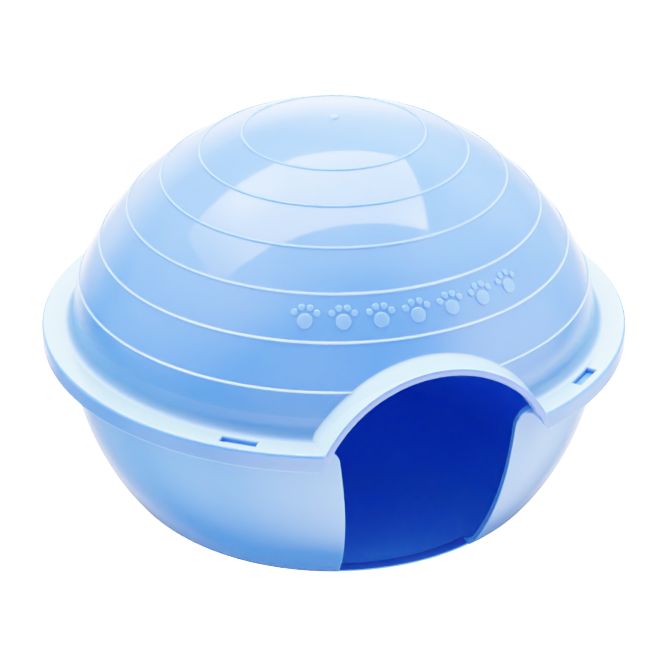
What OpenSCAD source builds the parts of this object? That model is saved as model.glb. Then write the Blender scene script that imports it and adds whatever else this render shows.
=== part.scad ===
// Rodent igloo: a domed plastic nest for a small rodent, made of two mouldings.
// The bowl stands on its flat base. The dome rests on the bowl's rim, where four low tongues locate
// it in slots, and lifts straight off.
// Millimetres. Origin at the centre of the base, +Z up, doorway towards -Y.

/* [Overall] */
// Outer radius of the flange where the two halves meet
flange_r = 85; // [80:0.5:100]
// Height of the flange's top face above the base
seat_z = 55.1; // [50:0.1:75]
// Height of the dome's apex above the flange's top face
dome_rise = 60.6; // [56:0.2:66]

/* [Dome] */
// Wall thickness of the dome
dome_wall = 1.8; // [1.2:0.1:2.6]
// Width of the flange that shows as a ledge round the dome's foot
ledge_w = 9; // [8:0.1:12]
// How much larger the radius of the dome's sphere is than that of its foot
dome_over = 4.7; // [3:0.1:8]
// How far the wall swells out between the largest ring and the foot
foot_out = 2.39; // [2:0.01:4]
// Radius of the soft fillet between the dome's foot and the flange
foot_fillet = 3; // [1:0.5:4]
// Radius of the gate nub on the apex
nub_r = 1.4; // [0.8:0.1:3]
// Height of the gate nub above the apex
nub_h = 0.6; // [0.2:0.1:1.5]

/* [Ring beads] */
// Number of even steps from the apex to the largest ring, where the wall turns upright
bead_last = 7; // [5:1:9]
// Number of steps from the apex to the smallest ring
bead_first = 2; // [1:1:3]
// Radius of a ring bead, half of which stands out of the wall
bead_r = 0.42; // [0.2:0.02:0.8]

/* [Raised paw prints] */
// Number of paw prints in the row over the doorway
paw_count = 7; // [1:2:9]
// Angle between one paw print and the next, round the igloo
paw_step = 9.2; // [8.4:0.1:10]
// Number of steps from the largest ring up to the ring above the row
paw_up = 2; // [1:1:3]
// Radius of a print's pad
pad_r = 2.1; // [1.4:0.1:2.4]
// Radius of a print's toe
toe_r = 0.95; // [0.5:0.05:1]
// Distance from the middle of the pad to the middle of a toe
toe_reach = 3.8; // [3.4:0.1:4.2]
// Angle between one toe and the next
toe_step = 35; // [32:1:38]
// Height of the prints above the wall
paw_h = 0.4; // [0.2:0.05:0.8]

/* [Flange and skirt] */
// Thickness of the flange
flange_t = 2.2; // [1.6:0.1:3]
// Depth of the skirt below the flange's top face
skirt_h = 5.4; // [4.4:0.1:9]
// Thickness of the skirt
skirt_t = 1.6; // [1:0.1:2.4]
// Rounding of the flange's outer edge
edge_r = 0.9; // [0.3:0.1:1]
// Rounding of the skirt's lower edge
hem_r = 0.4; // [0.1:0.1:0.5]
// Rounding of the skirt's lower corners beside the doorway
corner_r = 3.8; // [2:0.1:4.2]

/* [Hood] */
// Outer radius of the hood over the doorway
hood_r = 36.2; // [34:0.2:38]
// Wall thickness of the hood
hood_wall = 1.8; // [1.2:0.1:2.6]
// Depth of the hood's axis below the flange's top face
hood_drop = 16.6; // [14:0.2:20]
// How far the hood's flat lip lies inside the flange's front edge
lip_in = 6.1; // [5:0.1:7]

/* [Locating slots] */
// Angle of the front slots from the middle of the doorway
slot_angle = 39; // [30:1:60]
// Length of a slot along the flange
slot_w = 10.6; // [8:0.2:14]
// Width of a slot across the flange
slot_d = 3.3; // [2.4:0.1:4]
// Width of the flange left between a slot and the skirt
slot_margin = 0.95; // [0.5:0.05:1.2]
// Height of a tongue above the bowl's rim
tongue_h = 0.7; // [0.4:0.1:2]
// Rounding of a tongue's corners
tongue_r = 1; // [0.4:0.1:1.3]

/* [Bowl] */
// How far the bowl's wall lies inside the flange's edge where it is widest
belly_in = 7.7; // [7:0.1:11]
// Depth of the belly below the flange's top face
belly_drop = 6; // [5:0.5:12]
// Radius of the arc that the bowl's wall follows
belly_arc = 73; // [66:1:76]
// Radius between the wall and the flat base
base_round = 14; // [8:1:24]
// Wall thickness of the bowl
bowl_wall = 1.8; // [1.2:0.1:2.6]
// Thickness of the bowl's rim
rim_t = 1.8; // [1.2:0.1:2]
// Clearance between the bowl and the dome where one slides in the other
fit_gap = 0.3; // [0.2:0.05:0.5]

/* [Doorway] */
// Height of the sill above the bowl's floor
sill_h = 0.5; // [0.3:0.1:10]
// Half of the doorway's width at the sill
sill_half = 20.3; // [16:0.1:24]
// Half of the doorway's width below the rounded shoulders
door_half = 25.7; // [22:0.1:27]
// Radius of the rounded shoulders
shoulder_r = 4.8; // [3:0.1:6]

/* [Hidden] */
$fn = 96;
// Overshoot of a cut past the face it goes through
over = 1;
// Length that reaches past the whole igloo
reach = 2 * flange_r;

// Heights in the igloo's own frame
rim_z = seat_z - flange_t;
skirt_z = seat_z - skirt_h;
hood_z = seat_z - hood_drop;
belly_z = seat_z - belly_drop;
shoulder_z = rim_z - shoulder_r;
sill_z = bowl_wall + sill_h;

// The wall leaves the sphere at the largest ring and turns upright at the flange
foot_r = flange_r - ledge_w;
dome_r = foot_r + dome_over;
dome_cz = seat_z + dome_rise - dome_r;
join_r = foot_r - foot_out;
join_z = dome_cz + sqrt(pow(dome_r, 2) - pow(join_r, 2));
bead_step = asin(join_r / dome_r) / bead_last;
foot_arc = (pow(join_z - seat_z, 2) + pow(foot_r - join_r, 2)) / (2 * (foot_r - join_r));
foot_cr = foot_r - foot_arc;
// Arcs that would only touch overlap by this much, so that they cross in a clean edge
bite = 0.02;
fillet_cr = foot_cr + sqrt(pow(foot_arc + foot_fillet, 2) - pow(foot_fillet, 2)) - bite;
fillet_cz = seat_z + foot_fillet - bite;

// The bowl's wall arc and the base rounding meet near the line through both centres
belly_r = flange_r - belly_in;
belly_cr = belly_r - belly_arc;
round_z = base_round;
round_cr = belly_cr + sqrt(pow(belly_arc - base_round + bite, 2) - pow(belly_z - round_z, 2));

rim_r = flange_r - skirt_t - fit_gap;
hood_in = hood_r - hood_wall;
lip_y = flange_r - lip_in;
corner_cz = skirt_z + corner_r - bite;
corner_cx = sqrt(pow(hood_in + corner_r - bite, 2) - pow(corner_cz - hood_z, 2));
slot_r = flange_r - skirt_t - slot_margin - slot_d / 2;
slot_angles = [slot_angle, -slot_angle, 180 - slot_angle, slot_angle - 180];

// Disc in the half-plane of a revolve
module disc(r, z, radius) {
    translate([r, z]) circle(radius);
}

// Region inside a wall of two arcs. The main arc runs down to the line through both centres, and
// the small arc, which lies inside the main disc there, takes over below it.
module two_arcs(main_r, main_z, main_arc, small_r, small_z, small_arc, low) {
    angle = atan2(small_z - main_z, small_r - main_r);
    far = [small_r + reach * cos(angle), small_z + reach * sin(angle)];
    intersection() {
        disc(main_r, main_z, main_arc);
        union() {
            disc(small_r, small_z, small_arc);
            translate([0, low]) square([small_r, reach]);
            polygon([[0, small_z], [small_r, small_z], far, [reach, 2 * reach], [0, 2 * reach]]);
        }
    }
}

// Everything inside the dome's skin, above the flange's top face
module dome_region(inset) {
    intersection() {
        two_arcs(0, dome_cz, dome_r - inset, foot_cr, seat_z, foot_arc - inset, seat_z);
        translate([0, seat_z]) square([reach, reach]);
    }
}

// Soft fillet between the foot of the wall and the flange
module foot_fillet_region() {
    difference() {
        polygon([
            [foot_cr, seat_z - flange_t / 2], [fillet_cr, seat_z - flange_t / 2],
            [fillet_cr, fillet_cz], [foot_cr, seat_z + foot_fillet / 2]
        ]);
        disc(fillet_cr, fillet_cz, foot_fillet);
    }
}

// Flange and skirt with their rounded edges, still solid to the middle
module flange_region() {
    translate([0, rim_z]) square([flange_r - edge_r, flange_t]);
    translate([0, skirt_z + hem_r]) square([flange_r, skirt_h - hem_r - edge_r]);
    translate([0, skirt_z]) square([flange_r - hem_r, skirt_h - edge_r]);
    disc(flange_r - edge_r, seat_z - edge_r, edge_r);
    disc(flange_r - hem_r, skirt_z + hem_r, hem_r);
}

// Nest space inside the dome, as a revolve with the given radius below the flange
module dome_cavity(low_r) {
    rotate_extrude() {
        dome_region(dome_wall);
        translate([0, rim_z - over]) square([foot_r - dome_wall, flange_t + 2 * over]);
        translate([0, skirt_z - over]) square([low_r, rim_z - skirt_z + over]);
    }
}

// Level barrel along the doorway, from the lip's side to the given depth
module barrel(radius, front, back) {
    translate([0, -back, hood_z]) rotate([90, 0, 0]) cylinder(r = radius, h = front - back);
}

module ring_bead(step) {
    a = step * bead_step;
    translate([0, 0, dome_cz]) rotate_extrude() disc(dome_r * sin(a), dome_r * cos(a), bead_r);
}

// Disc that stands out of the dome's skin, where +Z points out of the middle of the sphere
module raised_disc(r) {
    translate([0, 0, dome_r - dome_wall / 2]) cylinder(r = r, h = dome_wall / 2 + paw_h);
}

// One pad and four toes, the toes towards the apex
module paw_print() {
    raised_disc(pad_r);
    for (toe = [-1.5:1.5]) rotate([0, 0, toe * toe_step]) rotate([-toe_reach / dome_r * 180 / PI, 0, 0])
        raised_disc(toe_r);
}

module paw_row() {
    drop = toe_reach / 4 / dome_r * 180 / PI;
    polar = (bead_last - paw_up + 0.5) * bead_step + drop;
    for (i = [0:paw_count - 1]) translate([0, 0, dome_cz])
        rotate([0, 0, (i - (paw_count - 1) / 2) * paw_step]) rotate([polar, 0, 0]) paw_print();
}

module hood() {
    difference() {
        intersection() {
            barrel(hood_r, lip_y, foot_r / 2);
            translate([-reach, -reach, skirt_z]) cube([2 * reach, reach, reach]);
            cylinder(r = flange_r, h = reach);
        }
        dome_cavity(belly_r + fit_gap);
    }
}

// Front view of what the rounding takes off one lower corner of the skirt, beside the tunnel
module corner_region(side) {
    near = (hood_in - over) / (hood_in + corner_r - bite);
    difference() {
        polygon([
            [side * corner_cx, corner_cz], [side * corner_cx, skirt_z - over],
            [side * near * corner_cx, skirt_z - over], [side * near * corner_cx, hood_z + near * (corner_cz - hood_z)]
        ]);
        translate([side * corner_cx, corner_cz]) circle(corner_r);
    }
}

module at_slots() {
    for (a = slot_angles) rotate([0, 0, a]) translate([0, -slot_r, 0]) children();
}

// Rectangle with round corners, centred, made of true arcs
module round_rect(w, d, r) {
    square([w - 2 * r, d], center = true);
    square([w, d - 2 * r], center = true);
    for (x = [-1, 1], y = [-1, 1]) translate([x * (w / 2 - r), y * (d / 2 - r)]) circle(r);
}

module dome() {
    color("lightskyblue") difference() {
        union() {
            difference() {
                rotate_extrude() {
                    dome_region(0);
                    foot_fillet_region();
                    flange_region();
                }
                dome_cavity(flange_r - skirt_t);
            }
            hood();
            for (step = [bead_first:bead_last]) ring_bead(step);
            paw_row();
            translate([0, 0, seat_z + dome_rise - dome_wall / 2]) cylinder(r = nub_r, h = dome_wall / 2 + nub_h);
        }
        barrel(hood_in, reach, foot_r / 2);
        translate([-reach, -lip_y - reach, 0]) cube([2 * reach, reach, reach]);
        for (side = [-1, 1]) rotate([90, 0, 0]) linear_extrude(reach) corner_region(side);
        at_slots() translate([-slot_w / 2, -slot_d / 2, rim_z - over]) cube([slot_w, slot_d, flange_t + 2 * over]);
    }
}

// Everything inside the bowl's skin, up to the rim's top face
module bowl_region(inset, top) {
    intersection() {
        two_arcs(belly_cr, belly_z, belly_arc - inset, round_cr, round_z, base_round - inset, inset);
        translate([0, inset]) square([reach, top - inset]);
    }
}

module rim() {
    difference() {
        rotate_extrude() difference() {
            translate([0, rim_z - rim_t]) square([rim_r, rim_t]);
            bowl_region(bowl_wall / 2, rim_z + over);
        }
        barrel(hood_r + fit_gap, reach, 0);
    }
}

// Front view of the doorway: a trapezoid that opens at the top round the wall's rounded shoulders
module doorway_outline() {
    top_half = door_half + shoulder_r;
    difference() {
        polygon([
            [-sill_half, sill_z], [sill_half, sill_z],
            [door_half, shoulder_z], [top_half, shoulder_z], [top_half, rim_z + over],
            [-top_half, rim_z + over], [-top_half, shoulder_z], [-door_half, shoulder_z]
        ]);
        for (side = [-1, 1]) translate([side * top_half, shoulder_z]) circle(shoulder_r);
    }
}

module bowl() {
    color("lightskyblue") difference() {
        union() {
            rotate_extrude() difference() {
                bowl_region(0, rim_z);
                bowl_region(bowl_wall, rim_z + over);
            }
            rim();
            at_slots() translate([0, 0, rim_z - rim_t / 2]) linear_extrude(rim_t / 2 + tongue_h)
                round_rect(slot_w - 2 * fit_gap, slot_d - 2 * fit_gap, tongue_r);
        }
        translate([0, -belly_r / 2, 0]) rotate([90, 0, 0]) linear_extrude(reach) doorway_outline();
    }
}

bowl();
dome();
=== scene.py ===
import bpy
import math
from mathutils import Matrix, Vector


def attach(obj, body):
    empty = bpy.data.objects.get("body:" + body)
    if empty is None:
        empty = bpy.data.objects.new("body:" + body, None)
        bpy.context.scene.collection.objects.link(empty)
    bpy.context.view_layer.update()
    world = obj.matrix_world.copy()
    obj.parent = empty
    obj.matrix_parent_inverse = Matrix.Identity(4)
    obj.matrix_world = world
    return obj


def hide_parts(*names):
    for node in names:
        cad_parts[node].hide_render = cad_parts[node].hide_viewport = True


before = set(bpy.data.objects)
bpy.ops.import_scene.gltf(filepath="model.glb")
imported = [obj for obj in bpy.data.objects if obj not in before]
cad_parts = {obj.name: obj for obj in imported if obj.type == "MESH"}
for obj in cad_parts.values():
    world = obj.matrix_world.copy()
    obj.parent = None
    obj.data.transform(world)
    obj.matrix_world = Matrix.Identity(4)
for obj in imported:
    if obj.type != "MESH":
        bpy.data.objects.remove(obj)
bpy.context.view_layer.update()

mm = 0.001
scene = bpy.context.scene
scene.view_settings.view_transform = "Standard"

# Camera: its response rolls off towards white, and its view is fitted to the flange and the rings
response = {"white": 4.0, "gain": 1.1, "steps": 16}
camera = {"azimuth": -20.7, "elevation": 28.0, "distance": 0.793, "target": (0, 0, 0.0470),
          "lens": 146.2, "sensor": 36, "shift": (-0.0019, 0.0008), "near": 0.01}


def setResponse():
    scene.view_settings.use_curve_mapping = True
    mapping = scene.view_settings.curve_mapping
    mapping.white_level = (response["white"],) * 3
    curve = mapping.curves[3]  # the curve that all three colours share
    stops = [i / response["steps"] for i in range(response["steps"] + 1)]
    while len(curve.points) < len(stops):
        curve.points.new(0.5, 0.5)
    for point, t in zip(curve.points, stops):
        point.location = (t, 1 - math.exp(-response["gain"] * response["white"] * t))
    mapping.update()


def direction(azimuth, elevation):
    a, e = math.radians(azimuth), math.radians(elevation)
    return Vector((math.sin(a) * math.cos(e), -math.cos(a) * math.cos(e), math.sin(e)))


def addCamera():
    back = direction(camera["azimuth"], camera["elevation"])
    bpy.ops.object.camera_add(location=Vector(camera["target"]) + back * camera["distance"],
                              rotation=back.to_track_quat("Z", "Y").to_euler())
    lens = bpy.context.object
    lens.data.lens = camera["lens"]
    lens.data.sensor_width = camera["sensor"]
    lens.data.shift_x, lens.data.shift_y = camera["shift"]
    lens.data.clip_start = camera["near"]
    scene.camera = lens


setResponse()
addCamera()
print("camera placed")


# Modelling helpers. Sizes and places are in mm, and a profile's points are radius and height
far = 120     # how far a body that only cuts reaches
past = 1      # how far it passes a face that it opens
slack = 0.01  # how far below a level a vertex still counts as on it


def deselect():
    if bpy.context.object and bpy.context.object.mode != "OBJECT":
        bpy.ops.object.mode_set(mode="OBJECT")
    bpy.ops.object.select_all(action="DESELECT")


def activate(piece):
    deselect()
    piece.select_set(True)
    bpy.context.view_layer.objects.active = piece


def editAll(piece):
    activate(piece)
    bpy.ops.object.mode_set(mode="EDIT")
    bpy.ops.mesh.select_all(action="SELECT")


def facesOut():
    bpy.ops.mesh.select_all(action="SELECT")
    bpy.ops.mesh.normals_make_consistent(inside=False)
    bpy.ops.object.mode_set(mode="OBJECT")


def outline(name, points, closed=False):
    deselect()
    bpy.ops.mesh.primitive_plane_add(size=mm, location=(0, 0, 0))
    piece = bpy.context.object
    piece.name = name
    bpy.ops.object.mode_set(mode="EDIT")
    bpy.ops.mesh.merge(type="CENTER")
    bpy.ops.transform.translate(value=points[0])
    for here, there in zip(points, points[1:]):
        step = Vector(there) - Vector(here)
        bpy.ops.mesh.extrude_region_move(TRANSFORM_OT_translate={"value": step})
    bpy.ops.mesh.select_all(action="SELECT")
    if closed:
        bpy.ops.mesh.edge_face_add()
    bpy.ops.object.mode_set(mode="OBJECT")
    return piece


def spun(name, profile, steps=256, weld=0.002):
    piece = outline(name, [(r * mm, 0, z * mm) for r, z in profile])
    editAll(piece)
    bpy.ops.mesh.spin(steps=steps, angle=2 * math.pi, center=(0, 0, 0), axis=(0, 0, 1))
    bpy.ops.mesh.select_all(action="SELECT")
    bpy.ops.mesh.remove_doubles(threshold=weld * mm)
    facesOut()
    return piece


def prism(name, points, start, depth):
    piece = outline(name, [(x * mm, start * mm, z * mm) for x, z in points], closed=True)
    editAll(piece)
    bpy.ops.mesh.extrude_region_move(TRANSFORM_OT_translate={"value": (0, depth * mm, 0)})
    facesOut()
    return piece


def combine(piece, others, operation):
    for other in others:
        activate(piece)
        cut = piece.modifiers.new("cut", "BOOLEAN")
        cut.operation, cut.solver, cut.object = operation, "MANIFOLD", other
        bpy.ops.object.modifier_apply(modifier="cut")
        bpy.data.objects.remove(other)


def barrel(name, radius, front, back, height, sides=192):
    deselect()
    bpy.ops.mesh.primitive_cylinder_add(
        vertices=sides, radius=radius * mm, depth=(front - back) * mm,
        location=(0, -(front + back) / 2 * mm, height * mm), rotation=(math.pi / 2, 0, 0))
    piece = bpy.context.object
    piece.name = name
    bpy.ops.object.transform_apply(location=True, rotation=True, scale=True)
    return piece


def block(name, low, high):
    deselect()
    size = [(b - a) * mm for a, b in zip(low, high)]
    middle = [(a + b) / 2 * mm for a, b in zip(low, high)]
    bpy.ops.mesh.primitive_cube_add(size=1, location=middle, scale=size)
    piece = bpy.context.object
    piece.name = name
    bpy.ops.object.transform_apply(location=True, rotation=True, scale=True)
    return piece


def place(piece, turn):
    activate(piece)
    piece.matrix_world = turn @ piece.matrix_world
    bpy.ops.object.transform_apply(location=True, rotation=True, scale=True)
    return piece


def turned(degrees, axis):
    return Matrix.Rotation(math.radians(degrees), 4, axis)


def joined(pieces):
    activate(pieces[0])
    for piece in pieces:
        piece.select_set(True)
    bpy.ops.object.join()
    return pieces[0]


# which edges to round, from the heights of their two ends
def upright(one, two):
    return abs(one - two) > mm


def above(level):
    return lambda one, two: min(one, two) > (level - slack) * mm


def bevelEdges(piece, size, wanted, segments=4):
    activate(piece)
    bpy.ops.object.mode_set(mode="EDIT")
    bpy.ops.mesh.select_mode(type="EDGE")
    bpy.ops.mesh.select_all(action="DESELECT")
    bpy.ops.object.mode_set(mode="OBJECT")
    verts = piece.data.vertices
    for edge in piece.data.edges:
        edge.select = wanted(*(verts[v].co.z for v in edge.vertices))
    bpy.ops.object.mode_set(mode="EDIT")
    bpy.ops.mesh.bevel(offset=size * mm, segments=segments, affect="EDGES")
    bpy.ops.mesh.select_mode(type="VERT")
    bpy.ops.object.mode_set(mode="OBJECT")


def arc(cr, cz, radius, start, end, count):
    turn = [math.radians(start + (end - start) * i / count) for i in range(count + 1)]
    return [(cr + radius * math.cos(t), cz + radius * math.sin(t)) for t in turn]


# Dome
dome = {"radius": 80.7, "middle": 35.0, "wall": 1.8, "top": 115.7,
        "nub": 1.4, "nubHeight": 0.6, "nubRound": 0.3, "nubDraft": 0.15, "nubFoot": (0.12, 0.03),
        "rings": 7, "firstRing": 2, "ringPolar": 65.8, "ringHeight": 0.4, "ringWidth": 0.52,
        "footMiddle": (39.61, 55.1), "footRadius": 36.39, "footTurn": 20.88,
        "filletMiddle": (78.866, 58.08), "fillet": 3.0,
        "seat": 55.1, "flange": 85.0, "flangeUnder": 52.9, "edge": 0.9,
        "skirtLow": 49.7, "skirtIn": 83.4, "hem": 0.4, "hemIn": 0.25,
        "hood": 36.2, "hoodIn": 34.4, "hoodAxis": 38.5, "hoodEnds": (88, 38), "hoodSides": 256,
        "cavity": 77.6, "lip": 78.9, "corner": 3.8, "cornerBite": 0.02,
        "slotAngles": (39, -39, 141, -141), "slotRadius": 80.8, "slotSize": (10.6, 3.3),
        "slotCut": (51, 57)}
paw = {"count": 7, "step": 9.2, "polar": 52.37, "pad": 2.1, "toe": 0.95, "reach": 3.8,
       "toes": (-1.5, -0.5, 0.5, 1.5), "spread": 35, "height": 0.4, "edge": 0.22,
       "padSides": 40, "toeSides": 28}
# rows of faces: degrees from one to the next on the skin, rows across a bead, and a row close to
# each bead (degrees) or rounding (mm) that keeps its slope out of the shading beside it
rows = {"skin": 1.35, "bead": 12, "guard": 0.05, "support": 0.1}
# degrees left free where one arc runs into the next, as rows too close together make bad edges
gaps = {"nub": 0.4, "foot": 0.85, "fillet": 2, "inside": 0.4, "base": 1, "belly": 0.6}


def domeSkin(polar, lift=0.0):
    t = math.radians(polar)
    r = dome["radius"] + lift
    return (r * math.sin(t), dome["middle"] + r * math.cos(t))


def nubOutside(foot):
    crown = dome["top"] + dome["nubHeight"]
    flat = dome["nub"] - dome["nubRound"] - dome["nubDraft"]
    aside, lift = dome["nubFoot"]
    points = [(0, crown)] + arc(flat, crown - dome["nubRound"], dome["nubRound"], 90, 0, 5)
    return points + [domeSkin(foot + aside, lift)]


def skinOutside(foot):
    step = dome["ringPolar"] / dome["rings"]
    half = math.degrees(dome["ringWidth"] / dome["radius"])
    guard = rows["guard"]
    points, polars = [], [foot + gaps["nub"]]
    # for each ring, the skin's rows up to its bead and then the bead's own
    for ring in range(dome["firstRing"], dome["rings"] + 1):
        low, high = polars[-1], ring * step - half
        count = max(3, round((high - low) / rows["skin"]))
        between = [low + (high - low) * i / count for i in range(1, count)]
        polars += [low + guard] + between + [high - guard]
        points += [domeSkin(p) for p in polars]
        for i in range(rows["bead"] + 1):
            t = -1 + 2 * i / rows["bead"]
            rise = dome["ringHeight"] * (1 + math.cos(math.pi * t)) / 2
            points.append(domeSkin(ring * step + half * t, rise))
        polars = [ring * step + half]
    return points


def flangeOutside():
    cr, cz = dome["footMiddle"]
    fr, fz = dome["filletMiddle"]
    touch = math.degrees(math.atan2(fz - cz, fr - cr))  # where the foot runs into the fillet
    seat, flange, support = dome["seat"], dome["flange"], rows["support"]
    edgeLow, hemTop = seat - dome["edge"], dome["skirtLow"] + dome["hem"]
    points = arc(cr, cz, dome["footRadius"], dome["footTurn"] - gaps["foot"], touch, 12)
    points += arc(fr, fz, dome["fillet"], 180 + touch + gaps["fillet"], 270, 16)
    points += [(fr + support, seat), (flange - dome["edge"] - support, seat)]
    points += arc(flange - dome["edge"], edgeLow, dome["edge"], 90, 0, 9)
    points += [(flange, edgeLow - support), (flange, hemTop + support)]
    points += arc(flange - dome["hem"], hemTop, dome["hem"], 0, -90, 5)
    points += arc(dome["skirtIn"] + dome["hemIn"], dome["skirtLow"] + dome["hemIn"],
                  dome["hemIn"], -90, -180, 3)
    return points + [(dome["skirtIn"], dome["flangeUnder"])]


def domeInside():
    footRadius = dome["footRadius"] - dome["wall"]
    start = 90 - dome["ringPolar"] + gaps["inside"]
    points = [(dome["footMiddle"][0] + footRadius, dome["flangeUnder"])]
    points += arc(*dome["footMiddle"], footRadius, 0, dome["footTurn"], 8)
    points += arc(0, dome["middle"], dome["radius"] - dome["wall"], start, 90, 40)
    points[-1] = (0, points[-1][1])  # exactly on the axis
    return points


def hoodBody():
    low, flange = dome["skirtLow"], dome["flange"]
    hood = barrel("hood", dome["hood"], *dome["hoodEnds"], dome["hoodAxis"], dome["hoodSides"])
    combine(hood, [block("hoodLow", (-far, -far, -far), (far, 0, low))], "DIFFERENCE")
    edge = spun("hoodEdge", [(0, 0), (flange, 0), (flange, far), (0, far)])
    combine(hood, [edge], "INTERSECT")
    side = dome["cavity"]
    cavity = [(0, low - past), (side, low - past), (side, dome["flangeUnder"])] + domeInside()
    combine(hood, [spun("hoodCavity", cavity)], "DIFFERENCE")
    return hood


def shapeDome():
    foot = math.degrees(math.asin(dome["nub"] / dome["radius"]))
    outside = nubOutside(foot) + skinOutside(foot) + flangeOutside()
    shell = spun("igloo_dome", outside + domeInside())
    print("dome spun", len(shell.data.polygons))
    combine(shell, [hoodBody(), pawRow()], "UNION")
    back = dome["hoodEnds"][1]
    cuts = [barrel("tunnel", dome["hoodIn"], far, back, dome["hoodAxis"], dome["hoodSides"]),
            block("lipCut", (-far, -far, 0), (far, -dome["lip"], far))]
    cuts += [cornerCut(side) for side in (-1, 1)]
    cuts += [slotCut(angle) for angle in dome["slotAngles"]]
    combine(shell, cuts, "DIFFERENCE")
    print("dome cut", len(shell.data.polygons))
    return shell


def raisedDot(radius, sides):
    deselect()
    top, depth = dome["radius"] + paw["height"], dome["wall"] / 2 + paw["height"]
    bpy.ops.mesh.primitive_cylinder_add(vertices=sides, radius=radius * mm, depth=depth * mm,
                                        location=(0, 0, (top - depth / 2) * mm))
    dot = bpy.context.object
    bpy.ops.object.transform_apply(location=True, rotation=True, scale=True)
    bevelEdges(dot, paw["edge"], above(top), segments=3)
    return dot


def pawRow():
    tilt = math.degrees(paw["reach"] / dome["radius"])
    row = []
    for i in range(paw["count"]):
        dots = [raisedDot(paw["pad"], paw["padSides"])]
        for toe in paw["toes"]:
            turn = turned(toe * paw["spread"], "Z") @ turned(-tilt, "X")
            dots.append(place(raisedDot(paw["toe"], paw["toeSides"]), turn))
        side = (i - (paw["count"] - 1) / 2) * paw["step"]
        lift = Matrix.Translation((0, 0, dome["middle"] * mm))
        row.append(place(joined(dots), lift @ turned(side, "Z") @ turned(paw["polar"], "X")))
    return joined(row)


def cornerCut(side):
    # the round bites a little into the tunnel and the hem
    reach = dome["hoodIn"] + dome["corner"] - dome["cornerBite"]
    cz = dome["skirtLow"] + dome["corner"] - dome["cornerBite"]
    down = cz - dome["hoodAxis"]
    cx = math.sqrt(reach ** 2 - down ** 2)
    near = (dome["hoodIn"] - past) / reach
    start = math.degrees(math.atan2(-down, -cx)) % 360
    low = dome["skirtLow"] - past
    points = [(near * cx, dome["hoodAxis"] + near * down)]
    points += arc(cx, cz, dome["corner"], start, 270, 16) + [(cx, low), (near * cx, low)]
    return prism("corner", [(side * x, z) for x, z in points], 0, -far)


def slotCut(angle):
    w, d = dome["slotSize"]
    low, high = dome["slotCut"]
    piece = block("slot", (-w / 2, -dome["slotRadius"] - d / 2, low),
                  (w / 2, -dome["slotRadius"] + d / 2, high))
    return place(piece, turned(angle, "Z"))


domePiece = shapeDome()

# Bowl
bowl = {"middle": (4.3, 49.1), "radius": 73.0, "baseMiddle": (51.74, 14.0), "base": 14.0,
        "wall": 1.8, "rimTop": 52.9, "rimThick": 1.8, "rim": 83.1, "rimIn": 76, "rimClear": 36.5,
        "sill": 2.3, "sillHalf": 20.3, "doorHalf": 25.7, "shoulder": 4.8, "doorDepth": (-35, -80),
        "tongue": (10.0, 2.7), "tongueLow": 52, "tongueHeight": 0.7, "tongueCorner": 1.0,
        "tongueEdge": 0.25}


def bowlArc(inset):
    cr, cz = bowl["middle"]
    br, bz = bowl["baseMiddle"]
    seam = math.degrees(math.atan2(bz - cz, br - cr))
    top = math.degrees(math.asin((bowl["rimTop"] - cz) / (bowl["radius"] - inset)))
    points = arc(br, bz, bowl["base"] - inset, -90, seam - gaps["base"], 10)
    return points + arc(cr, cz, bowl["radius"] - inset, seam + gaps["belly"], top, 44)


def shapeBowl():
    wall = bowl["wall"]
    shell = spun("igloo_bowl", [(0, 0)] + bowlArc(0) + bowlArc(wall)[::-1] + [(0, wall)])
    top, under = bowl["rimTop"], bowl["rimTop"] - bowl["rimThick"]
    rim = spun("rim", [(bowl["rimIn"], under), (bowl["rim"], under), (bowl["rim"], top),
                       (bowl["rimIn"], top), (bowl["rimIn"], under)])
    combine(rim, [barrel("rimCut", bowl["rimClear"], far, 0, dome["hoodAxis"])], "DIFFERENCE")
    combine(shell, [rim] + [tongue(angle) for angle in dome["slotAngles"]], "UNION")
    combine(shell, [doorCut()], "DIFFERENCE")
    print("bowl cut", len(shell.data.polygons))
    return shell


def doorCut():
    side = bowl["doorHalf"] + bowl["shoulder"]
    level = bowl["rimTop"] - bowl["shoulder"]
    half = [(bowl["sillHalf"], bowl["sill"]), (bowl["doorHalf"], level)]
    half += arc(side, level, bowl["shoulder"], 180, 90, 14)[1:]
    half += [(side, bowl["rimTop"] + past)]
    return prism("door", half + [(-x, z) for x, z in half[::-1]], *bowl["doorDepth"])


def tongue(angle):
    w, d = bowl["tongue"]
    high = bowl["rimTop"] + bowl["tongueHeight"]
    piece = block("tongue", (-w / 2, -dome["slotRadius"] - d / 2, bowl["tongueLow"]),
                  (w / 2, -dome["slotRadius"] + d / 2, high))
    bevelEdges(piece, bowl["tongueCorner"], upright)
    bevelEdges(piece, bowl["tongueEdge"], above(high))
    return place(piece, turned(angle, "Z"))


bowlPiece = shapeBowl()

smoothAngle = 25  # degrees, and a sharper edge stays sharp
for piece, node in ((domePiece, "dome"), (bowlPiece, "bowl")):
    activate(piece)
    bpy.ops.object.shade_smooth_by_angle(angle=math.radians(smoothAngle))
    piece.data.materials.clear()
    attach(piece, node)
    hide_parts(node)
    node + "_plastic"
print("pieces placed")


# Shader helpers
class Wire:
    def __init__(self, tree, socket):
        self.tree, self.socket = tree, socket

    def math(self, operation, *values):
        inputs = dict(enumerate(values))
        return makeNode(self.tree, "ShaderNodeMath", {"operation": operation}, inputs)

    def __add__(self, other):
        return self.math("ADD", self, other)

    def __sub__(self, other):
        return self.math("SUBTRACT", self, other)

    def __rsub__(self, other):
        return self.math("SUBTRACT", other, self)

    def __mul__(self, other):
        return self.math("MULTIPLY", self, other)

    __radd__, __rmul__ = __add__, __mul__


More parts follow.
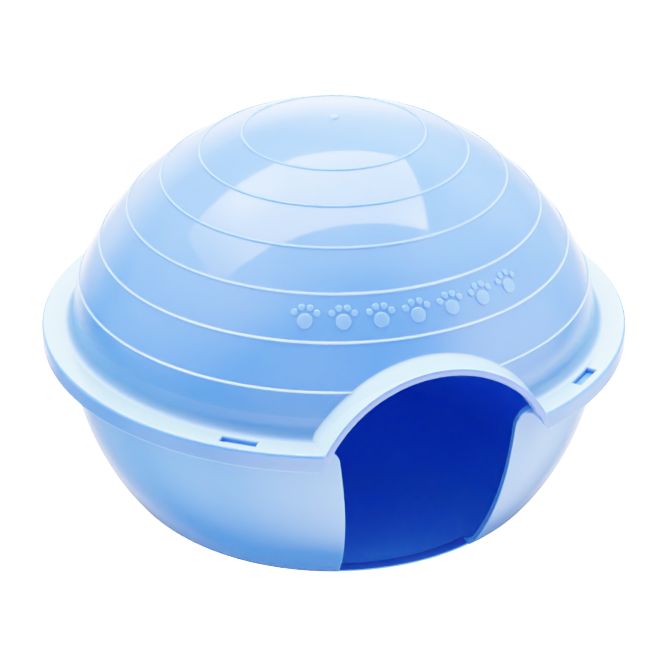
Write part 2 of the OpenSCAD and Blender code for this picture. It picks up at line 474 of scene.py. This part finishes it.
def makeNode(tree, kind, settings=None, inputs=None, output=0):
    node = tree.nodes.new(kind)
    for name, value in (settings or {}).items():
        setattr(node, name, value)
    for name, value in (inputs or {}).items():
        if isinstance(value, Wire):
            tree.links.new(value.socket, node.inputs[name])
        else:
            node.inputs[name].default_value = value
    return Wire(tree, node.outputs[output])


def newMaterial(name, surface=None):
    mat = bpy.data.materials.new(name)
    mat.use_nodes = True
    shader = mat.node_tree.nodes["Principled BSDF"]
    for socket, value in (surface or {}).items():
        shader.inputs[socket].default_value = value
    return mat


def feed(wire, node, socket):
    wire.tree.links.new(wire.socket, wire.tree.nodes[node].inputs[socket])


def xyz(vector):
    node = makeNode(vector.tree, "ShaderNodeSeparateXYZ", {}, {0: vector}).socket.node
    return [Wire(vector.tree, socket) for socket in node.outputs]


def length(a, b):
    squares = a * a + b * b
    return squares.math("SQRT", squares)


def larger(a, b):
    return a.math("MAXIMUM", a, b)


def smooth(wire, low, high):
    return makeNode(wire.tree, "ShaderNodeMapRange", {"interpolation_type": "SMOOTHSTEP"},
                    {"Value": wire, "From Min": low, "From Max": high})


def rising(wire, zone):
    return smooth(wire, zone[0] * mm, zone[1] * mm)


def falling(wire, zone):
    return 1 - rising(wire, zone)


def blendColour(factor, first, second):
    return makeNode(factor.tree, "ShaderNodeMix", {"data_type": "RGBA"},
                    {0: factor, 6: first, 7: second}, 2)


# Finishes
shades = {
    "dome": (0.076, 0.23, 0.78, 1),      # the dome's skin
    "paintedShade": (0.05, 0.19, 0.50, 1),       # painted shade: darker in the crease at its foot and on its skirt
    "paintedLight": (0.40, 0.61, 1.0, 1),        # painted light: flange and hood tops, hem, beads and paws, lighter where the light catches them
    "lip": (0.03, 0.14, 0.66, 1),        # the hood's cut front
    "bowl": (0.105, 0.31, 1.0, 1),       # the bowl's outside, high up
    "bowlShadedLow": (0.068, 0.225, 0.74, 1),  # painted shade: darker low down
    "inside": (0.06, 0.33, 0.85, 1),     # painted shade: its inside deeper than the outside, high up
    "floor": (0.045, 0.225, 0.70, 1),    # painted shade: darker still on the floor
    "edge": (0.05, 0.15, 0.52, 1),       # the doorway's cut faces
    # painted shade on the sill's top, under the hood
    "sill": (0.03, 0.10, 0.45, 1)}
plastic = {"roughness": 0.07, "softRoughness": 0.5, "ior": 1.5,
           "subsurface": 1.0, "radius": (0.15, 0.5, 1.0), "scatter": 0.005,
           "round": 0.35, "blendRound": 1.6, "roundSamples": 4,
           "skinScale": 26, "skinDetail": 1.0, "skinDepth": 0.00002}
# Two numbers are the mm between which a shade or finish comes in or goes: up along z, front along
# y, side along x, out from the middle line, around from the hood's axis, and skin from the middle
# of a wall's own arc. End and top are where it goes again, and a share is how strong it gets
domeFinish = {
    "flangeOut": (77.1, 78.7), "flangeEnd": (84.1, 84.6), "flangeUp": (54.0, 54.9),
    "hoodAround": (34.9, 35.9), "hoodEnd": (36.3, 36.9), "hoodUp": (54.6, 55.6),
    "hoodFront": (-66, -60), "hoodLip": (-78.85, -78.5), "hoodShare": 0.85,
    "hemUp": (49.9, 50.3), "hemOut": (84.3, 84.5), "hemShare": 0.6,
    "proudSkin": (80.75, 81.0), "proudOut": (75.3, 75.5), "proudUp": (70, 105),
    "proudShare": 0.75, "proudShareLost": 0.4,
    "pawUp": (80.3, 80.6), "pawEnd": (88.5, 89.2), "pawShareLost": 0.7,
    "footUp": (55.3, 55.6), "footEnd": (55, 72), "footOut": (76.6, 77.6), "footSkin": (35.2, 35.6),
    "skirtUp": (54, 54.6), "skirtOut": (84, 84.5), "skirtShare": 0.5,
    "lipFront": (-78.9, -78.6), "lipAround": (34.2, 34.5), "lipEnd": (36.3, 36.6),
    "softUp": (54.9, 55.2), "softOut": (78.6, 79.6),
    "seamAround": (34.0, 35.6), "seamEnd": (37.0, 40.0), "seamFront": (-56, -46)}
bowlFinish = {
    "insideUp": (3, 22), "outsideUp": (0, 46), "outsideSkin": (71.25, 71.5),
    "front": (-50, -48), "edgeSkin": (71.3, 71.6), "edgeEnd": (72.5, 72.8),
    "edgeUp": (4, 6), "edgeTop": (51, 52),
    "sillUp": (2.2, 2.27), "sillTop": (2.33, 2.4), "sillSide": (20, 21),
    "sillLine": (71.5, 71.9), "sillLineShare": 0.9}


def domeLook(x, y, z, out):
    zone = domeFinish
    around = length(x, z - dome["hoodAxis"] * mm)
    fromMiddle = length(out, z - dome["middle"] * mm)
    fromFoot = length(out - dome["footMiddle"][0] * mm, z - dome["footMiddle"][1] * mm)
    # painted light: the tops of the flange and the hood lighter where they face the lamp above,
    # and a painted highlight along the hem
    flange = (rising(out, zone["flangeOut"]) * rising(z, zone["flangeUp"])
              * falling(out, zone["flangeEnd"]))
    hood = (rising(around, zone["hoodAround"]) * falling(around, zone["hoodEnd"])
            * falling(y, zone["hoodFront"]) * rising(z, zone["hoodUp"])
            * rising(y, zone["hoodLip"]) * zone["hoodShare"])
    hem = falling(z, zone["hemUp"]) * rising(out, zone["hemOut"]) * zone["hemShare"]
    # painted highlights: beads, paws and nub stand proud of the skin and catch the light, less so
    # higher up and on the paws
    proud = rising(fromMiddle, zone["proudSkin"]) * falling(out, zone["proudOut"])
    proud = proud * (zone["proudShare"] - rising(z, zone["proudUp"]) * zone["proudShareLost"])
    paws = rising(z, zone["pawUp"]) * falling(z, zone["pawEnd"])
    proud = proud * (1 - paws * zone["pawShareLost"])
    paintedLight = larger(larger(larger(flange, hood), hem), proud)
    # painted shade: darker in the crease where the foot meets the flange, and on the upright skirt
    # under it
    foot = (falling(z, zone["footEnd"]) * falling(out, zone["footOut"])
            * rising(z, zone["footUp"]) * rising(fromFoot, zone["footSkin"]))
    skirt = falling(z, zone["skirtUp"]) * rising(out, zone["skirtOut"]) * zone["skirtShare"]
    lip = (falling(y, zone["lipFront"]) * rising(around, zone["lipAround"])
           * falling(around, zone["lipEnd"]))
    colour = blendColour(larger(foot, skirt), shades["dome"], shades["paintedShade"])
    colour = blendColour(paintedLight, colour, shades["paintedLight"])
    colour = blendColour(lip, colour, shades["lip"])
    # duller towards the foot, and rounder where the hood runs into the skin
    aboveSeat = rising(z, zone["softUp"])
    soft = falling(out, zone["softOut"]) * falling(z, zone["footEnd"])
    duller = plastic["softRoughness"] - plastic["roughness"]
    rough = soft * soft * aboveSeat * duller + plastic["roughness"]
    seam = (rising(around, zone["seamAround"]) * falling(around, zone["seamEnd"])
            * falling(y, zone["seamFront"]))
    rounder = (plastic["blendRound"] - plastic["round"]) * mm
    return colour, rough, seam * aboveSeat * rounder + plastic["round"] * mm


def bowlLook(x, y, z, out):
    zone = bowlFinish
    away = length(out - bowl["middle"][0] * mm, z - bowl["middle"][1] * mm)
    # painted shade: the inside deeper than the outside and darker towards its floor, the outside
    # darker low down
    inside = blendColour(rising(z, zone["insideUp"]), shades["floor"], shades["inside"])
    outside = blendColour(rising(z, zone["outsideUp"]), shades["bowlShadedLow"], shades["bowl"])
    colour = blendColour(rising(away, zone["outsideSkin"]), inside, outside)
    # darker cut faces of the doorway, painted shade on the sill, and a painted highlight along its
    # outer line
    front = falling(y, zone["front"])
    edge = (rising(away, zone["edgeSkin"]) * falling(away, zone["edgeEnd"]) * front
            * rising(z, zone["edgeUp"]) * falling(z, zone["edgeTop"]))
    colour = blendColour(edge, colour, shades["edge"])
    sill = (rising(z, zone["sillUp"]) * falling(z, zone["sillTop"]) * front
            * falling(x.math("ABSOLUTE", x), zone["sillSide"]))
    line = rising(away, zone["sillLine"])
    colour = blendColour(sill * (1 - line), colour, shades["sill"])
    return blendColour(sill * line * zone["sillLineShare"], colour, shades["paintedLight"])


def finish(piece):
    mat = newMaterial(piece + "_plastic", {
        "Roughness": plastic["roughness"], "IOR": plastic["ior"],
        "Subsurface Weight": plastic["subsurface"], "Subsurface Radius": plastic["radius"],
        "Subsurface Scale": plastic["scatter"]})
    tree = mat.node_tree
    where = makeNode(tree, "ShaderNodeTexCoord", output="Object")
    x, y, z = xyz(where)
    out = length(x, y)
    if piece == "dome":
        colour, rough, corner = domeLook(x, y, z, out)
        feed(rough, "Principled BSDF", "Roughness")
    else:
        colour, corner = bowlLook(x, y, z, out), plastic["round"] * mm
    feed(colour, "Principled BSDF", "Base Color")
    rounded = makeNode(tree, "ShaderNodeBevel", {"samples": plastic["roundSamples"]},
                       {"Radius": corner})
    waves = makeNode(tree, "ShaderNodeTexNoise", {},
                     {"Vector": where, "Scale": plastic["skinScale"],
                      "Detail": plastic["skinDetail"]})
    bump = makeNode(tree, "ShaderNodeBump", {},
                    {"Height": waves, "Distance": plastic["skinDepth"], "Strength": 1.0,
                     "Normal": rounded})
    feed(bump, "Principled BSDF", "Normal")
    return mat


domePiece.data.materials.append(finish("dome"))
bowlPiece.data.materials.append(finish("bowl"))
print("finishes made")

# Light and floor, in metres and degrees
softbox = {"lamp": 5.0, "face": 10.1, "size": (1.79, 0.843), "middle": (-0.186, 0.378, 1.1),
           "turn": -7.1, "fade": (-1.0, -0.45), "fadeLeft": 0.3,
           # bright spots: x, y, reach, strength
           "spots": ((-0.40, 0.52, 0.35, 4.0), (0.62, -0.12, 0.30, 6.0))}
room = {"ambient": 0.57, "band": 0.4, "bandUp": (0.32, 0.35), "bandLow": (-0.15, -0.05),
        "bandBack": (-0.3, 0.3), "horizon": (-0.35, -0.15)}
# lobes of light: azimuth, elevation, strength, inner and outer angle
fills = (  # what lights the plastic
    (0, 90, 0.45, 30, 90),      # ceiling
    (-20, -30, 1.9, 10, 62),    # floor in front
    (-90, 30, 3.1, 10, 60),     # lamp to the left
    (90, 30, 4.9, 10, 60),      # lamp to the right
)
cards = (  # walls and ceiling, seen in the gloss alone
    (0, 90, 2.0, 10, 70),
    (-120, 60, 3.0, 16, 54),
    (120, 60, 3.1, 16, 54),
    (-180, 32, 1.4, 14, 48),
    (-110, 32, 1.8, 14, 50),
    (75, 32, 1.4, 14, 50),
    (-180, 5, 2.3, 12, 41),
    (-30, 5, 1.6, 12, 41),
    (35, 5, 2.0, 12, 45),
    (60, 5, 4.0, 12, 41),
    (130, 5, 1.9, 14, 50),
)
floorCards = (  # the floor, seen in the gloss alone
    (-180, -25, 0.8, 15, 45),
    (-112, -25, 1.0, 15, 45),
    (-45, -25, 3.2, 20, 68),
    (0, -25, 5.6, 20, 68),
    (45, -25, 5.8, 20, 68),
    (135, -25, 1.3, 20, 68),
)
ground = {"radius": 6, "height": -0.0002, "grey": 0.2, "glow": 6}
# painted shadow: a dark disc under the igloo, seen in the gloss alone, for the shadow on the floor
# that its gloss mirrors
contactShadow = {"radius": 0.075, "height": -0.0001, "fade": (0.056, 0.074),
           "colour": (0.0, 0.02, 0.06, 1)}


def showOnly(thing, kind):
    for other in ("camera", "diffuse", "glossy", "transmission", "shadow"):
        setattr(thing, "visible_" + other, other == kind)


def addLamp():
    turn = (0, 0, math.radians(softbox["turn"]))
    width, depth = softbox["size"]
    bpy.ops.object.light_add(type="AREA", location=softbox["middle"], rotation=turn)
    lamp = bpy.context.object
    lamp.name = "softbox"
    lamp.data.shape = "RECTANGLE"
    lamp.data.size, lamp.data.size_y = width, depth
    lamp.data.energy = softbox["lamp"] * width * depth * math.pi  # brightness to watts
    lamp.visible_glossy = False


def addLampFace():
    turn = (0, 0, math.radians(softbox["turn"]))
    deselect()
    bpy.ops.mesh.primitive_plane_add(size=1, location=softbox["middle"], rotation=turn)
    face = bpy.context.object
    face.name = "softbox_face"
    face.scale = (*softbox["size"], 1)
    bpy.ops.object.transform_apply(location=True, rotation=True, scale=True)
    mat = newMaterial("softbox_face")
    tree = mat.node_tree
    where = makeNode(tree, "ShaderNodeTexCoord", output="Object")
    left = softbox["fadeLeft"]
    glow = (smooth(xyz(where)[0], *softbox["fade"]) * (1 - left) + left) * softbox["face"]
    for x, y, reach, strength in softbox["spots"]:
        away = makeNode(tree, "ShaderNodeVectorMath", {"operation": "DISTANCE"},
                        {0: where, 1: (x, y, softbox["middle"][2])}, "Value")
        glow = (1 - smooth(away, 0.0, reach)) * strength + glow
    colour = makeNode(tree, "ShaderNodeCombineColor", {}, {0: glow, 1: glow, 2: glow})
    light = makeNode(tree, "ShaderNodeEmission", {}, {"Color": colour, "Strength": 1})
    clear = makeNode(tree, "ShaderNodeBsdfTransparent")
    both = makeNode(tree, "ShaderNodeAddShader", {}, {0: light, 1: clear})
    feed(both, "Material Output", "Surface")
    face.data.materials.append(mat)
    showOnly(face, "glossy")


def lobes(way, start, places):
    strength = start
    for azimuth, elevation, level, inner, outer in places:
        along = makeNode(way.tree, "ShaderNodeVectorMath", {"operation": "DOT_PRODUCT"},
                         {0: way, 1: direction(azimuth, elevation)}, "Value")
        low, high = math.cos(math.radians(outer)), math.cos(math.radians(inner))
        strength = smooth(along, low, high) * level + strength
    return strength


def addWorld():
    world = bpy.data.worlds.new("studio")
    scene.world = world
    world.use_nodes = True
    tree = world.node_tree
    way = makeNode(tree, "ShaderNodeTexCoord", output="Generated")
    y, z = xyz(way)[1:]
    band = ((1 - smooth(z, *room["bandUp"])) * smooth(z, *room["bandLow"])
            * smooth(y, *room["bandBack"]) * room["band"])
    floor = lobes(way, 0.0, floorCards) * (1 - smooth(z, *room["horizon"]))
    gloss = lobes(way, 0.0, cards) + floor + band
    body = lobes(way, room["ambient"], fills)
    seen = makeNode(tree, "ShaderNodeLightPath", output="Is Glossy Ray")
    strength = gloss * seen + body * (1 - seen)
    feed(strength, "Background", "Strength")
    tree.nodes["Background"].inputs["Color"].default_value = (1, 1, 1, 1)


def disc(name, radius, height, sides=128):
    deselect()
    bpy.ops.mesh.primitive_circle_add(vertices=sides, radius=radius, fill_type="NGON",
                                      location=(0, 0, height))
    piece = bpy.context.object
    piece.name = name
    bpy.ops.object.transform_apply(location=True)
    return piece


def addFloor():
    floor = disc("floor", ground["radius"], ground["height"])
    grey = (ground["grey"],) * 3 + (1,)
    floor.data.materials.append(newMaterial("floor", {
        "Base Color": grey, "Roughness": 1.0,
        "Emission Color": (1, 1, 1, 1), "Emission Strength": ground["glow"]}))
    showOnly(floor, "camera")


# a painted shadow on the floor, seen in the gloss alone
def addContactShadow():
    dark = disc("contactShadow", contactShadow["radius"], contactShadow["height"])
    mat = newMaterial("contactShadow")
    tree = mat.node_tree
    where = makeNode(tree, "ShaderNodeTexCoord", output="Object")
    away = makeNode(tree, "ShaderNodeVectorMath", {"operation": "LENGTH"}, {0: where}, "Value")
    shade = makeNode(tree, "ShaderNodeEmission", {}, {"Color": contactShadow["colour"], "Strength": 1})
    clear = makeNode(tree, "ShaderNodeBsdfTransparent")
    both = makeNode(tree, "ShaderNodeMixShader", {},
                    {0: smooth(away, *contactShadow["fade"]), 1: shade, 2: clear})
    feed(both, "Material Output", "Surface")
    dark.data.materials.append(mat)
    showOnly(dark, "glossy")


addLamp()
addLampFace()
addWorld()
addFloor()
addContactShadow()
print("studio lit")
